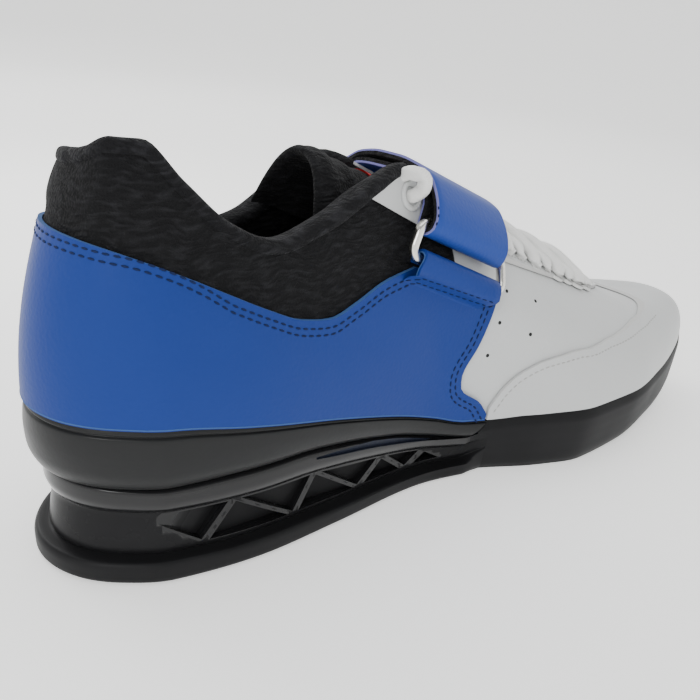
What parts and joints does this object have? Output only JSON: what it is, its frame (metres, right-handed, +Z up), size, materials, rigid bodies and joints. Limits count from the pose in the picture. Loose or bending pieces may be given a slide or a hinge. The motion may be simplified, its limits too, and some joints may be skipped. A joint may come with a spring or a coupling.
{
  "type": "weightlifting shoe",
  "caption": "Left weightlifting shoe with a raised heel wedge, a truss-sided sole, a laced throat and an instep strap folded through a wire ring.",
  "frame": {"origin": "on the floor, at the middle of the bounding box's length and width", "axes": "+X to the toe, +Y to the outer (lateral) side of the foot, +Z up"},
  "size_m": [0.2931, 0.1048, 0.1253],
  "materials": {
    "black_rubber": "satin",
    "dark_grey_foam": "satin",
    "dark_grey_foam_liner": "matte",
    "black_knit": "matte",
    "blue_synthetic": "satin",
    "white_toe_leather": "satin",
    "white_leather": "satin",
    "black_mesh": "matte",
    "blue_strap": "satin",
    "blue_tab": "satin",
    "polished_steel": "polished",
    "white_lace": "matte"
  },
  "bodies": {
    "root": {"outsole": "black_rubber", "midsole": "dark_grey_foam", "insole": "dark_grey_foam_liner", "upper": "black_knit", "counter": "blue_synthetic", "toe_guard": "white_toe_leather", "eyestay": "white_leather", "tongue": "black_mesh", "strap": "blue_strap", "ring_tab": "blue_tab", "ring": "polished_steel", "lace_bar": "white_lace", "lace_cross_1": "white_lace", "lace_cross_2": "white_lace", "lace_cross_3": "white_lace", "lace_cross_4": "white_lace"}
  },
  "joints": []
}
